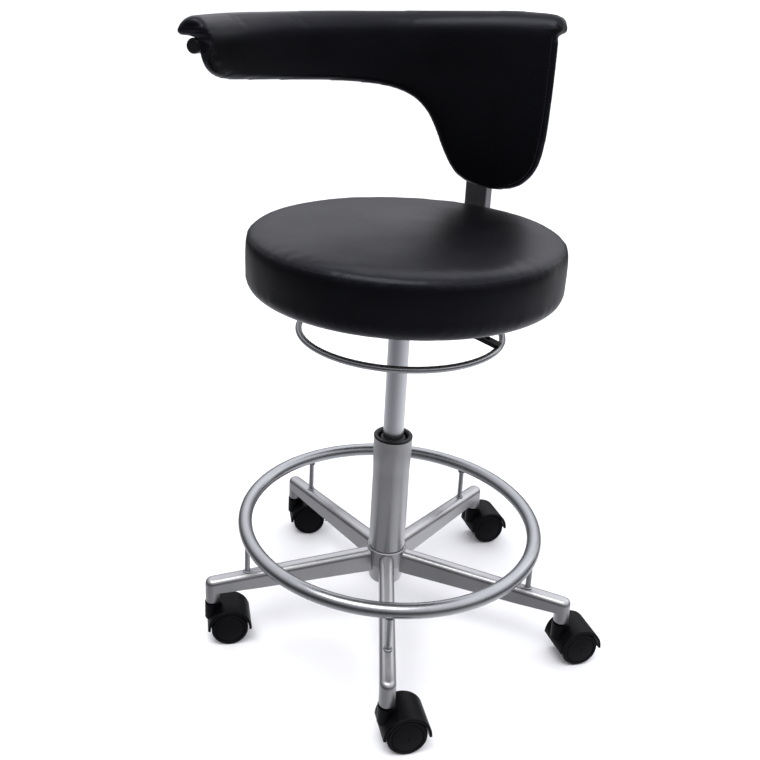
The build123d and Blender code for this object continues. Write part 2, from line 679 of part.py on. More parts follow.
# ---------- casters ----------
post_height = 34.0            # where the hood's stem post starts
wheel_inner = web_half + 0.5
wheel_outer = wheel_inner + wheel_width
dome_edge = 18.6              # the wheels' outer faces are domed inside this radius, by 1 mm
dome_radius = (dome_edge ** 2 + 1) / 2
dome_angle = math.degrees(math.asin(dome_edge / dome_radius))
for number, azimuth in enumerate(leg_azimuths, start=1):
    name = "caster_" + str(number)
    heading = caster_headings[number - 1]
    socket = turned(azimuth, boss_circle)
    side = upright(heading, socket)
    axle_spot = (caster_trail, wheel_radius)

    with BuildPart() as hood:
        with BuildSketch(side.offset(-hood_half_width)):
            with Locations(axle_spot):
                Circle(hood_radius)
        extrude(amount=2 * hood_half_width)
        fillet(hood.edges().filter_by(GeomType.CIRCLE), 1.6)
        with BuildSketch(side):
            with Locations((caster_trail, wheel_radius - hood_radius / 2)):
                Rectangle(2 * hood_radius + 1, hood_radius)
        extrude(amount=hood_half_width + 1, both=True, mode=Mode.SUBTRACT)
        with BuildSketch(level(heading, post_height, socket)):
            Circle(11)
        extrude(amount=boss_bottom - 0.4 - post_height)
        for outward in (1, -1):
            with BuildSketch(side.offset(outward * web_half)):
                with Locations(axle_spot):
                    Circle(wheel_radius + 1.4)
            extrude(amount=outward * hood_half_width, mode=Mode.SUBTRACT)
        with BuildSketch(side.offset(-web_half)):
            with Locations(axle_spot):
                Circle(8)
        extrude(amount=2 * web_half)
        with BuildSketch(side.offset(-web_half)):
            with Locations(axle_spot):
                Circle(axle_radius)
        extrude(amount=2 * web_half, mode=Mode.SUBTRACT)
        with BuildSketch(level(heading, pin_bottom, socket)):
            Circle(pin_radius)
        extrude(amount=boss_bottom - pin_bottom, mode=Mode.SUBTRACT)
    save(hood, name + "_hood")

    with BuildPart() as stem:
        with BuildSketch(level(heading, pin_bottom, socket)):
            Circle(pin_radius)
        extrude(amount=boss_bottom - pin_bottom)
        with BuildSketch(level(heading, boss_bottom, socket)):
            Circle(stem_radius)
        extrude(amount=stem_length)
        chamfer(stem.faces().sort_by(Axis.Z)[-1].edges(), 1)
    save(stem, name + "_stem")

    with BuildPart() as axle:
        with BuildSketch(side):
            with Locations(axle_spot):
                Circle(axle_radius)
        extrude(amount=axle_end, both=True)
        chamfer(axle.edges().filter_by(GeomType.CIRCLE), 0.6)
    save(axle, name + "_axle")

    axle_x, axle_y = turned(heading, caster_trail, socket)
    axle_axis = Axis(origin=(axle_x, axle_y, wheel_radius), direction=tuple(side.z_dir))
    bore = axle_radius + running
    bore_end = axle_end + 0.3
    for word, outward in (("left", 1), ("right", -1)):
        along_x, along_y = turned(heading, outward)
        wheel_plane = Plane(
            origin=(axle_x, axle_y, wheel_radius), x_dir=(0, 0, 1), z_dir=(along_x, along_y, 0)
        )
        with BuildPart() as wheel:
            with BuildSketch(wheel_plane):
                with BuildLine():
                    Polyline(
                        (0, bore_end), (bore, bore_end), (bore, wheel_inner), (wheel_radius, wheel_inner),
                        (wheel_radius, wheel_outer), (20.4, wheel_outer), (19.9, wheel_outer - 0.8),
                        (19.2, wheel_outer - 0.8), (dome_edge, wheel_outer)
                    )
                    dome = CenterArc((0, wheel_outer + 1 - dome_radius), dome_radius, 90 - dome_angle, dome_angle)
                    Line(dome @ 1, (0, bore_end))
                make_face()
            revolve(axis=axle_axis)
            fillet(wheel.edges().filter_by(GeomType.CIRCLE).filter_by(
                lambda e: e.radius > wheel_radius - 0.1), 2.5)
        save(wheel, name + "_wheel_" + word)
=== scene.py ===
import json
import math
import random

import bmesh
import bpy
import numpy as np
from mathutils import Matrix, Vector


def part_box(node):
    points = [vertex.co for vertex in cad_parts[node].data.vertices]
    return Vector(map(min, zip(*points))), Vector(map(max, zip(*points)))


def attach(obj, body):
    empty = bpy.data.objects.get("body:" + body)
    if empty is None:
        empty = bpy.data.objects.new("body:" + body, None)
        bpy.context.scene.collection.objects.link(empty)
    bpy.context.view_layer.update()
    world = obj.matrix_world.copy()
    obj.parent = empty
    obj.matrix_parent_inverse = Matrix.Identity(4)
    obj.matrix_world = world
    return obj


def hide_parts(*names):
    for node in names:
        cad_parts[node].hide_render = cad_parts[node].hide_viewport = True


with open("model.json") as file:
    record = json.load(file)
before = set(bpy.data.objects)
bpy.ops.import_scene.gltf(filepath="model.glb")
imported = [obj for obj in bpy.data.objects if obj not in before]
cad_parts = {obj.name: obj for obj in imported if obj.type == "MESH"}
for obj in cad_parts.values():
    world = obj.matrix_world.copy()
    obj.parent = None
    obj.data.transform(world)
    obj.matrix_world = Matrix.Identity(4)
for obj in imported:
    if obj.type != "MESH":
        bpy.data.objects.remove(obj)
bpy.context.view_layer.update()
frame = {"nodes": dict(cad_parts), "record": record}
nodes = frame["nodes"]
rng = random.Random(11)

# ---------- sizes, in metres ----------
PAD_CENTRE = (0.0397, -0.0949)     # centre of the pad's curve, in plan
PAD_RADIUS = 0.300                 # its padded face
PAD_START = math.radians(59.2)     # azimuth of its right end
PAD_THICK = 0.0130
PAD_LENGTH = 0.5414                # along the padded face
ROLL_NOSE = 0.016                  # how far back the face leans over as it rounds into the top
ROLL_FALL = 0.032                  # and the height that this takes

seat_low, seat_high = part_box("seat_cushion")
board_low, board_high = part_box("seat_board")
SEAT_RADIUS = (seat_high.x - seat_low.x) / 2
BOARD_RADIUS = (board_high.x - board_low.x) / 2
SEAT_SEAM = 0.5695                 # height of the seam round the top of its wall


# ---------- camera ----------
def add_camera():
    """A camera at the photograph's viewing angle."""
    yaw, pitch, roll = math.radians(-2.72), math.radians(19.47), math.radians(1.67)
    place = (-0.0517, -1.1208, 0.8670)
    forward = Vector((math.sin(yaw) * math.cos(pitch), math.cos(yaw) * math.cos(pitch), -math.sin(pitch)))
    level_right = Vector((math.cos(yaw), -math.sin(yaw), 0))
    level_up = level_right.cross(forward)
    right = math.cos(roll) * level_right + math.sin(roll) * level_up
    up = math.cos(roll) * level_up - math.sin(roll) * level_right
    data = bpy.data.cameras.new("camera")
    data.lens = 43.39
    data.sensor_width = 36
    picture = 760
    data.shift_x, data.shift_y = 60 / picture, -76 / picture
    camera = bpy.data.objects.new("camera", data)
    axes = Matrix((right, up, -forward)).transposed().to_4x4()
    camera.matrix_world = Matrix.Translation(place) @ axes
    bpy.context.scene.collection.objects.link(camera)
    bpy.context.scene.camera = camera


# ---------- material helpers ----------
def put(tree, kind, settings=None, **inputs):
    """Add a node, set its attributes, and set or link its inputs."""
    node = tree.nodes.new(kind)
    for name, value in (settings or {}).items():
        setattr(node, name, value)
    for name, value in inputs.items():
        socket = node.inputs[name.replace("_", " ")]
        if isinstance(value, bpy.types.NodeSocket):
            tree.links.new(value, socket)
        else:
            socket.default_value = value
    return node


def coordinates(tree, scale=(1, 1, 1)):
    """Object coordinates, stretched."""
    source = put(tree, "ShaderNodeTexCoord").outputs["Object"]
    return put(tree, "ShaderNodeMapping", Vector=source, Scale=scale).outputs["Vector"]


def noise(tree, vector, scale, detail=3.0, roughness=0.5):
    return put(tree, "ShaderNodeTexNoise", Vector=vector, Scale=scale, Detail=detail,
               Roughness=roughness).outputs["Fac"]


def between(tree, factor, low, high):
    """A factor from 0.3 to 0.7 mapped to the range from low to high."""
    node = put(tree, "ShaderNodeMapRange", Value=factor)
    node.inputs["From Min"].default_value = 0.3
    node.inputs["From Max"].default_value = 0.7
    node.inputs["To Min"].default_value = low
    node.inputs["To Max"].default_value = high
    return node.outputs["Result"]


def blend_colors(tree, factor, first, second):
    node = put(tree, "ShaderNodeMix", {"data_type": "RGBA"})
    tree.links.new(factor, node.inputs[0])
    node.inputs[6].default_value = (*first, 1)
    node.inputs[7].default_value = (*second, 1)
    return node.outputs[2]


def bump(tree, height, distance, strength=1.0, under=None):
    node = put(tree, "ShaderNodeBump", Height=height, Distance=distance, Strength=strength)
    if under is not None:
        tree.links.new(under, node.inputs["Normal"])
    return node.outputs["Normal"]


def material(name, color, second=None, metallic=0.0, roughness=(0.4, 0.5), patch=8.0, **sockets):
    """A Principled material whose colour and roughness drift between two values in soft patches."""
    made = bpy.data.materials.new(name)
    made.use_nodes = True
    tree = made.node_tree
    shader = tree.nodes["Principled BSDF"]
    shader.inputs["Metallic"].default_value = metallic
    for socket, value in sockets.items():
        shader.inputs[socket.replace("_", " ")].default_value = value
    drift = noise(tree, coordinates(tree), patch, 4.0, 0.6)
    tree.links.new(blend_colors(tree, between(tree, drift, 0, 1), color, second or color),
                   shader.inputs["Base Color"])
    tree.links.new(between(tree, drift, *roughness), shader.inputs["Roughness"])
    return made, tree, shader


# ---------- materials ----------
def vinyl():
    made, tree, shader = material("vinyl", (0.0008, 0.0008, 0.0013), (0.0016, 0.0016, 0.0024),
                                  roughness=(0.31, 0.39), patch=9.0, Specular_IOR_Level=0.20,
                                  Specular_Tint=(0.84, 0.86, 1.0, 1.0))
    where = coordinates(tree)
    pebble = put(tree, "ShaderNodeTexVoronoi", {"feature": "SMOOTH_F1"}, Vector=where, Scale=720.0,
                 Smoothness=0.6).outputs["Distance"]
    crease = noise(tree, where, 150.0, 5.0, 0.65)
    swell = noise(tree, where, 13.0, 2.0, 0.5)
    base = bump(tree, swell, 0.0016, 0.35)
    fine = bump(tree, crease, 0.00012, 0.5, base)
    tree.links.new(bump(tree, pebble, 0.00010, 0.55, fine), shader.inputs["Normal"])
    return made


def thread():
    made, tree, shader = material("thread", (0.005, 0.005, 0.007), (0.011, 0.011, 0.014),
                                  roughness=(0.5, 0.65), patch=400.0, Specular_IOR_Level=0.25)
    twist = put(tree, "ShaderNodeTexWave", Vector=coordinates(tree), Scale=500.0).outputs["Fac"]
    tree.links.new(bump(tree, twist, 0.0001, 0.5), shader.inputs["Normal"])
    return made


def cast_aluminium():
    made, tree, shader = material("cast_aluminium", (0.35, 0.35, 0.355), (0.43, 0.43, 0.435), metallic=1.0,
                                  roughness=(0.32, 0.42), patch=16.0)
    grit = noise(tree, coordinates(tree), 900.0, 3.0, 0.6)
    dents = noise(tree, coordinates(tree), 60.0, 3.0, 0.5)
    wide = bump(tree, dents, 0.0003, 0.12)
    tree.links.new(bump(tree, grit, 0.00002, 0.15, wide), shader.inputs["Normal"])
    return made


def chrome():
    made, tree, shader = material("polished_chrome", (0.29, 0.295, 0.305), (0.35, 0.355, 0.365), metallic=1.0,
                                  roughness=(0.24, 0.32), patch=22.0)
    haze = noise(tree, coordinates(tree), 420.0, 3.0, 0.6)
    tree.links.new(bump(tree, haze, 0.00002, 0.2), shader.inputs["Normal"])
    return made


def drawn_steel(name, color, second, roughness, grain=0.4):
    """Steel drawn along Z, with fine lines that way."""
    made, tree, shader = material(name, color, second, metallic=1.0, roughness=roughness, patch=12.0)
    lines = noise(tree, coordinates(tree, (1, 1, 0.012)), 1400.0, 3.0, 0.7)
    tree.links.new(bump(tree, lines, 0.00003, grain), shader.inputs["Normal"])
    return made


def bright_steel():
    made, tree, shader = material("bright_steel", (0.50, 0.50, 0.50), (0.58, 0.58, 0.57), metallic=1.0,
                                  roughness=(0.28, 0.4), patch=60.0)
    spangle = noise(tree, coordinates(tree), 700.0)
    tree.links.new(bump(tree, spangle, 0.00003, 0.3), shader.inputs["Normal"])
    return made


def plastic(name, color, second, roughness, shine):
    """Moulded plastic with a fine spark-eroded grain."""
    made, tree, shader = material(name, color, second, roughness=roughness, patch=30.0,
                                  Specular_IOR_Level=shine)
    grain = noise(tree, coordinates(tree), 2200.0, 2.0, 0.7)
    flow = noise(tree, coordinates(tree, (1, 1, 3)), 45.0, 2.0, 0.5)
    wide = bump(tree, flow, 0.0003, 0.15)
    tree.links.new(bump(tree, grain, 0.00005, 0.4, wide), shader.inputs["Normal"])
    return made


def powder_coat():
    made, tree, shader = material("black_metal", (0.0032, 0.0032, 0.0038), (0.0060, 0.0060, 0.0068),
                                  roughness=(0.36, 0.48), patch=25.0, Specular_IOR_Level=0.28)
    peel = noise(tree, coordinates(tree), 480.0, 2.0, 0.5)
    tree.links.new(bump(tree, peel, 0.00012, 0.45), shader.inputs["Normal"])
    return made


def stained_plywood():
    made, tree, shader = material("plywood", (0.020, 0.017, 0.015), (0.052, 0.043, 0.036),
                                  roughness=(0.55, 0.75), patch=20.0)
    grain = put(tree, "ShaderNodeTexWave", {"wave_type": "BANDS", "bands_direction": "Y"},
                Vector=coordinates(tree, (0.15, 1, 1)), Scale=90.0, Distortion=7.0, Detail=3.0).outputs["Fac"]
    color_mix = shader.inputs["Base Color"].links[0].from_node
    tree.links.new(grain, color_mix.inputs[0])
    tree.links.new(bump(tree, grain, 0.0003, 0.3), shader.inputs["Normal"])
    return made


def make_materials():
    """A procedural material for every slot of the record, and one for sewing thread."""
    return {
        "black_vinyl": vinyl(),
        "thread": thread(),
        "cast_aluminium": cast_aluminium(),
        "polished_chrome": chrome(),
        "column_steel": drawn_steel("column_steel", (0.43, 0.43, 0.435), (0.50, 0.50, 0.505), (0.31, 0.41)),
        "lift_steel": drawn_steel("lift_steel", (0.67, 0.68, 0.70), (0.74, 0.75, 0.77), (0.26, 0.34), 0.25),
        "strut_steel": drawn_steel("strut_steel", (0.27, 0.27, 0.28), (0.34, 0.34, 0.35), (0.32, 0.42)),
        "bright_steel": bright_steel(),
        "black_plastic": plastic("black_plastic", (0.0026, 0.0026, 0.0032), (0.0050, 0.0050, 0.0060),
                                 (0.34, 0.46), 0.24),
        "caster_plastic": plastic("caster_plastic", (0.0010, 0.0010, 0.0015), (0.0022, 0.0022, 0.0030),
                                  (0.36, 0.48), 0.09),
        "caster_tread": plastic("caster_tread", (0.0014, 0.0014, 0.0020), (0.0028, 0.0028, 0.0038),
                                (0.42, 0.56), 0.09),
        "black_metal": powder_coat(),
        "plywood": stained_plywood(),
    }


def dress(piece, slot, shader=None):
    """Give a new piece the material of its slot, or of the shader named instead."""
    piece.data.materials.clear()
    piece.data.materials.append(looks[shader or slot])


def dress_cad():
    """Give every CAD node the procedural material of its slot."""
    slots = {row["node"]: row["material_slot"] for row in frame["record"]["subparts"]}
    for name, node in nodes.items():
        if not node.material_slots:
            node.data.materials.append(looks[slots[name]])
        for place in node.material_slots:
            place.material = looks[slots[name]]


# ---------- mesh helpers ----------
def new_object(name, mesh):
    piece = bpy.data.objects.new(name, mesh)
    bpy.context.scene.collection.objects.link(piece)
    return piece


def from_rings(name, rings, caps=True):
    """A mesh through closed rings of points."""
    count = len(rings[0])
    mesh = bpy.data.meshes.new(name)
    faces = []
    for a in range(len(rings) - 1):
        for b in range(count):
            c = (b + 1) % count
            faces.append((a * count + b, a * count + c, (a + 1) * count + c, (a + 1) * count + b))
    if caps:
        faces.append(tuple(reversed(range(count))))
        faces.append(tuple(range((len(rings) - 1) * count, len(rings) * count)))
    mesh.from_pydata([tuple(p) for ring in rings for p in ring], [], faces)
    mesh.validate()
    piece = new_object(name, mesh)
    tidy_normals(piece)
    return piece


def tidy_normals(piece):
    bm = bmesh.new()
    bm.from_mesh(piece.data)
    bmesh.ops.recalc_face_normals(bm, faces=bm.faces)
    bm.to_mesh(piece.data)
    bm.free()
    piece.data.shade_smooth()


def apply_modifiers(piece):
    graph = bpy.context.evaluated_depsgraph_get()
    mesh = bpy.data.meshes.new_from_object(piece.evaluated_get(graph))
    old = piece.data
    piece.modifiers.clear()
    piece.data = mesh
    bpy.data.meshes.remove(old)


def remesh(piece, voxel):
    step = piece.modifiers.new("remesh", "REMESH")
    step.mode = "VOXEL"
    step.voxel_size = voxel
    step.use_smooth_shade = True
    apply_modifiers(piece)


def smooth(piece, rounds):
    step = piece.modifiers.new("smooth", "SMOOTH")
    step.iterations = rounds
    apply_modifiers(piece)


def subdivide(piece):
    step = piece.modifiers.new("subdivide", "SUBSURF")
    step.levels = 1
    apply_modifiers(piece)


def points_of(piece):
    co = np.zeros(len(piece.data.vertices) * 3)
    piece.data.vertices.foreach_get("co", co)
    return co.reshape(-1, 3)


def normals_of(piece):
    no = np.zeros(len(piece.data.vertices) * 3)
    piece.data.vertices.foreach_get("normal", no)
    return no.reshape(-1, 3)


def move_points(piece, co):
    piece.data.vertices.foreach_set("co", np.asarray(co, float).reshape(-1))
    piece.data.update()


def smooth_path(points, steps=12, closed=False):
    """Catmull-Rom points through a few given ones."""
    pts = [np.array(p, float) for p in points]
    if closed:
        pts = [pts[-1]] + pts + pts[:2]
    else:
        pts = [2 * pts[0] - pts[1]] + pts + [2 * pts[-1] - pts[-2]]
    out = []
    for a, b, c, d in zip(pts, pts[1:], pts[2:], pts[3:]):
        for k in range(steps):
            t = k / steps
            out.append(0.5 * (2 * b + (c - a) * t + (2 * a - 5 * b + 4 * c - d) * t * t
                              + (3 * b - a - 3 * c + d) * t ** 3))
    if not closed:
        out.append(pts[-2])
    return np.array(out)


def even_path(points, gap):
    """The same path with points at an even gap."""
    points = np.asarray(points, float)
    steps = np.linalg.norm(np.diff(points, axis=0), axis=1)
    run = np.concatenate([[0], np.cumsum(steps)])
    count = max(2, int(round(run[-1] / gap)) + 1)
    at = np.linspace(0, run[-1], count)
    return np.stack([np.interp(at, run, points[:, k]) for k in range(points.shape[1])], axis=1)


def distance_to(path, points, chunk=4000):
    """Distance from each point to the nearest point of a dense path."""
    out = []
    for start in range(0, len(points), chunk):
        part = points[start:start + chunk]
        out.append(np.sqrt(((part[:, None, :] - path[None, :, :]) ** 2).sum(2).min(1)))
    return np.concatenate(out)


def cloth_swell(piece, pinned, pressure, cap):
    """Swell a padded form with a cloth simulation, holding pinned vertices and capping every move."""
    frames = 20
    before = points_of(piece)
    group = piece.vertex_groups.new(name="held")
    group.add([int(i) for i in np.nonzero(pinned)[0]], 1.0, "REPLACE")
    step = piece.modifiers.new("cloth", "CLOTH")
    step.settings.quality = 6
    step.settings.mass = 0.4
    step.settings.use_pressure = True
    step.settings.uniform_pressure_force = pressure
    step.settings.effector_weights.gravity = 0
    step.settings.vertex_group_mass = "held"
    step.settings.tension_stiffness = 25
    step.settings.compression_stiffness = 12
    step.settings.shear_stiffness = 8
    step.settings.bending_stiffness = 1.5
    step.point_cache.frame_start = 1
    step.point_cache.frame_end = frames
    scene = bpy.context.scene
    for number in range(1, frames + 1):
        scene.frame_set(number)
    apply_modifiers(piece)
    scene.frame_set(1)
    move = points_of(piece) - before
    size = np.linalg.norm(move, axis=1, keepdims=True)
    move *= cap / np.maximum(size, cap)
    move_points(piece, before + move)
    piece.vertex_groups.clear()


def carve(piece, path, width, depth, fade=0.0):
    """Press a groove into a piece along a dense path, on a locally finer mesh, fading out at its ends."""
    band = 2.6 * width
    for _ in range(2):
        bm = bmesh.new()
        bm.from_mesh(piece.data)
        near = distance_to(path, np.array([v.co for v in bm.verts])) < band
        edges = [e for e in bm.edges if near[e.verts[0].index] and near[e.verts[1].index]]
        bmesh.ops.subdivide_edges(bm, edges=edges, cuts=1, use_grid_fill=True)
        bm.to_mesh(piece.data)
        bm.free()
        piece.data.shade_smooth()
    co = points_of(piece)
    away = distance_to(path, co)
    drop = depth * np.exp(-(away / width) ** 2)
    if fade:
        drop *= np.clip(distance_to(path[[0, -1]], co) / fade, 0, 1)
    move_points(piece, co - normals_of(piece) * drop[:, None])


def tube(name, path, radius, sides=10, closed=False):
    """A round tube along a path of points."""
    pts = [Vector(p) for p in path]
    count = len(pts)
    rings = []
    side = None
    for i, p in enumerate(pts):
        ahead = pts[(i + 1) % count] if closed or i < count - 1 else p
        behind = pts[i - 1] if closed or i > 0 else p
        along = (ahead - behind).normalized()
        if side is None:
            side = along.cross(Vector((0, 0, 1)))
            if side.length < 0.1:
                side = along.cross(Vector((1, 0, 0)))
        side = (side - along * side.dot(along)).normalized()
        other = along.cross(side)
        rings.append([p + (side * math.cos(t) + other * math.sin(t)) * radius
                      for t in (2 * math.pi * k / sides for k in range(sides))])
    if closed:
        rings.append(rings[0])
    return from_rings(name, rings, caps=not closed)


def join(name, pieces):
    """Several mesh objects as one."""
    bm = bmesh.new()
    for piece in pieces:
        bm.from_mesh(piece.data)
    mesh = bpy.data.meshes.new(name)
    bm.to_mesh(mesh)
    bm.free()
    for piece in pieces:
        bpy.data.objects.remove(piece)
    mesh.shade_smooth()
    return new_object(name, mesh)


def stitches(name, path, normals, length=0.0036, gap=0.0016, thick=0.00038):
    """A row of thread stitches lying on a path, lifted a little along its normals."""
    path = np.asarray(path)
    steps = np.linalg.norm(np.diff(path, axis=0), axis=1)
    run = np.concatenate([[0], np.cumsum(steps)])
    made = []
    at = gap
    while at + length < run[-1]:
        spots = []
        for part, lift in ((0.0, 0.0), (0.25, 1.0), (0.75, 1.0), (1.0, 0.0)):
            where = at + part * length
            place = np.array([np.interp(where, run, path[:, k]) for k in range(3)])
            out = np.array([np.interp(where, run, normals[:, k]) for k in range(3)])
            spots.append(place + out * thick * (lift * 1.1 - 0.5))
        made.append(tube("stitch", spots, thick, sides=6))
        at += length + gap
    return join(name, made)


# ---------- seat ----------
def seat_profile():
    """Radius and height along the cushion's skin, from under its middle to the middle of its top."""
    low, top = seat_low.z, seat_high.z
    gap = 0.0006
    inner = BOARD_RADIUS + gap
    recess = board_high.z + 0.0016
    corner = 0.020
    points = [(0.0, recess), (0.06, recess), (0.12, recess), (inner - 0.001, recess), (inner, recess - 0.001),
              (inner, low + 0.002), (inner + 0.001, low + 0.0005)]
    for k in range(1, 8):
        turn = math.radians(90 * k / 8)
        points.append((BOARD_RADIUS + corner * math.sin(turn), low + corner - corner * math.cos(turn)))
    wall = SEAT_RADIUS - 0.0018
    wall_low, wall_high = low + corner, SEAT_SEAM - 0.0090
    for part in np.linspace(0, 1, 8):
        points.append((wall + 0.0006 * math.sin(math.pi * part), wall_low + (wall_high - wall_low) * part))
    for inward, above in ((0.0004, -0.0055), (0.0014, -0.0025), (0.0030, 0.0), (0.0058, 0.0022),
                          (0.0098, 0.0038), (0.0150, 0.0050)):
        points.append((wall - inward, SEAT_SEAM + above))
    edge, base = points[-1]
    for part in np.linspace(0, 1, 15)[1:]:
        points.append((edge * (1 - part), base + (top - base) * (1 - (1 - part) ** 2.4)))
    return points


def make_seat():
    """The round cushion: crowned top panel, boxed wall and a stitched seam between them."""
    sides = 200
    profile = seat_profile()
    rings = []
    for radius, height in profile[1:-1]:
        rings.append([(radius * math.cos(t), radius * math.sin(t), height)
                      for t in (2 * math.pi * k / sides for k in range(sides))])
    cushion = from_rings("seat_upholstery", rings)
    remesh(cushion, voxel=0.0045)
    smooth(cushion, rounds=4)
    co = points_of(cushion)
    radius = np.hypot(co[:, 0], co[:, 1])
    held = (co[:, 2] < board_high.z + 0.004) & (radius < BOARD_RADIUS + 0.010)
    cloth_swell(cushion, held, pressure=1.2, cap=0.0006)
    smooth(cushion, rounds=3)
    subdivide(cushion)
    angle = np.linspace(0, 2 * math.pi, 1600, endpoint=False)
    around = np.stack([np.cos(angle), np.sin(angle)], axis=1)

    def ring(inward, above):
        """A circle inside the wall's radius, above or below the seam."""
        return np.column_stack([(SEAT_RADIUS - inward) * around, np.full(len(angle), SEAT_SEAM + above)])

    seam = ring(inward=0.0048, above=0.0)
    pucker(cushion, seam)
    carve(cushion, seam, width=0.0009, depth=0.0009)
    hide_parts("seat_cushion")
    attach(cushion, "seat")
    dress(cushion, "black_vinyl")
    put_on_surface("seat_stitches", cushion, ring(inward=0.0030, above=-0.0026), "seat")


def put_on_surface(name, host, path, body, closed=True):
    """Stitches that lie on a host's surface, nearest to a path."""
    spots, outs = [], []
    for p in np.vstack([path, path[:1]]) if closed else path:
        _, place, out, _ = host.closest_point_on_mesh(Vector(p))
        spots.append(place)
        outs.append(out)
    row = stitches(name, np.array(spots), np.array(outs))
    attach(row, body)
    dress(row, "black_vinyl", "thread")


def pucker(piece, seam, depth=0.0002, reach=0.012):
    """Small gathers where the cover is pulled into a seam."""
    co = points_of(piece)
    away = distance_to(seam[::3], co)
    angle = np.arctan2(co[:, 1], co[:, 0])
    wave = np.zeros(len(co))
    for count in (31, 47, 83):
        wave += np.sin(angle * count + rng.uniform(0, 6.28)) / 3
    move_points(piece, co + normals_of(piece) * (depth * wave * np.exp(-(away / reach) ** 2))[:, None])


# ---------- arm pad ----------
def bend(points):
    """From flat pad coordinates (along, up, back) to the curved pad's place."""
    points = np.asarray(points, float)
    angle = PAD_START + points[:, 0] / PAD_RADIUS
    radius = PAD_RADIUS + points[:, 2]
    return np.stack([PAD_CENTRE[0] + radius * np.cos(angle), PAD_CENTRE[1] + radius * np.sin(angle),
                     points[:, 1]], axis=1)


def roll_top(along):
    """Height of the pad's top edge: highest over the paddle, lower towards the free end."""
    line = smooth_path([(-0.012, 0.8270), (0.0, 0.8295), (0.012, 0.8330), (0.035, 0.8348), (0.080, 0.8355),
                        (0.2136, 0.8320), (0.4230, 0.8275), (0.5460, 0.8235), (0.5600, 0.8225)], 8)
    return float(np.interp(along, line[:, 0], line[:, 1]))


def face_depth(along, height):
    """How far behind the padded face its skin lies at a height, near the rounded top."""
    part = max(0.0, 1 - (roll_top(along) - height) / ROLL_FALL)
    return ROLL_NOSE * (1 - math.sqrt(max(0.0, 1 - part * part)))


def pad_outline():
    """Outline of the L-shaped pad, flat: an arm with a paddle at its right end."""
    paddle = [(0.0008, 0.8000), (0.0008, 0.7600), (0.0014, 0.7100), (0.0042, 0.6620), (0.0112, 0.6260),
              (0.0265, 0.6030), (0.0470, 0.5920), (0.0710, 0.5893), (0.0950, 0.5935), (0.1130, 0.6003),
              (0.1290, 0.6140), (0.1440, 0.6400), (0.1600, 0.6770), (0.1735, 0.6990)]
    arm = [(0.1900, 0.7140), (0.2150, 0.7255), (0.2500, 0.7322), (0.3000, 0.7365), (0.3650, 0.7392),
           (0.4300, 0.7425), (0.4800, 0.7462), (0.5080, 0.7515), (0.5270, 0.7605), (0.5380, 0.7735),
           (PAD_LENGTH, 0.7880), (PAD_LENGTH, 0.7950)]
    return even_path(smooth_path(paddle + arm, 10), 0.004)


def inset_path(path, amount):
    """A flat path moved inwards, to the left of the way it runs."""
    along = np.gradient(path, axis=0)
    along /= np.linalg.norm(along, axis=1, keepdims=True)
    return path + amount * np.stack([-along[:, 1], along[:, 0]], axis=1)


def panel_rings(outline, thick, edge):
    """Rings of a plate with rounded edges, from its padded face round to its back."""
    rings = []
    count = len(outline)
    for turn in np.linspace(90, -90, 9):
        t = math.radians(turn)
        inward = edge * (1 - math.cos(t))
        back = thick / 2 - math.sin(t) * thick / 2
        ring = []
        for i in range(count):
            along = outline[(i + 1) % count] - outline[i - 1]
            along /= np.linalg.norm(along)
            ring.append((outline[i][0] - inward * along[1], outline[i][1] + inward * along[0], back))
        rings.append(ring)
    return rings


def roll_section():
    """Depth behind the padded face and drop below the top, once round the thick top edge."""
    front = [(0.0, -0.042), (0.0, -0.037)]
    for turn in np.linspace(0, 90, 9):
        t = math.radians(turn)
        front.append((ROLL_NOSE * (1 - math.cos(t)), -ROLL_FALL * (1 - math.sin(t))))
    back = [(0.0230, -0.0010), (0.0285, -0.0040), (0.0330, -0.0090), (0.0365, -0.0145), (0.0382, -0.0195),
            (0.0370, -0.0235), (0.0335, -0.0252), (0.0260, -0.0245), (0.0150, -0.0248), (0.0125, -0.0320),
            (0.0125, -0.0420)]
    return even_path(front + back, 0.0025)


def roll_rings():
    """Rings of the thick top edge, with rounded ends that stand out past the panel."""
    start, end, rounding, straight = -0.0030, PAD_LENGTH + 0.0045, 0.008, 0.012
    section = roll_section()
    heart = np.array([0.018, -0.016])
    rings = []
    for along in np.concatenate([np.linspace(start, start + rounding, 8),
                                 np.linspace(start + straight, end - straight, 120),
                                 np.linspace(end - rounding, end, 8)]):
        near = min(along - start, end - along) / rounding
        size = 0.5 + 0.5 * math.sqrt(max(0.0, 1 - (1 - min(near, 1.0)) ** 2))
        fuller = 1 + 0.14 * min(max((along - 0.40) / 0.14, 0.0), 1.0)
        ring = []
        for depth, drop in heart + (section - heart) * size:
            under = min(max((-0.020 - drop) / 0.006, 0.0), 1.0)
            inside = min(max(along, 0.0030), PAD_LENGTH - 0.0020)
            place = along + (inside - along) * under
            ring.append((place, roll_top(place) + drop, depth * fuller))
        rings.append(ring)
    return rings


def end_seams(outline):
    """The two sewn lines that follow the pad's ends, on its padded face."""
    rim = inset_path(outline, 0.0055)
    right = rim[rim[:, 0] < 0.066]
    left = rim[rim[:, 0] > 0.497]
    right = np.vstack([[(0.0100, 0.8200), (0.0088, 0.8100)], right])
    left = np.vstack([left, [(PAD_LENGTH - 0.0055, 0.8050), (PAD_LENGTH - 0.0070, 0.8140)]])
    seams = []
    for side in (right, left):
        seams.append(np.array([(a, h, face_depth(a, h)) for a, h in even_path(side, 0.0012)]))
    return seams


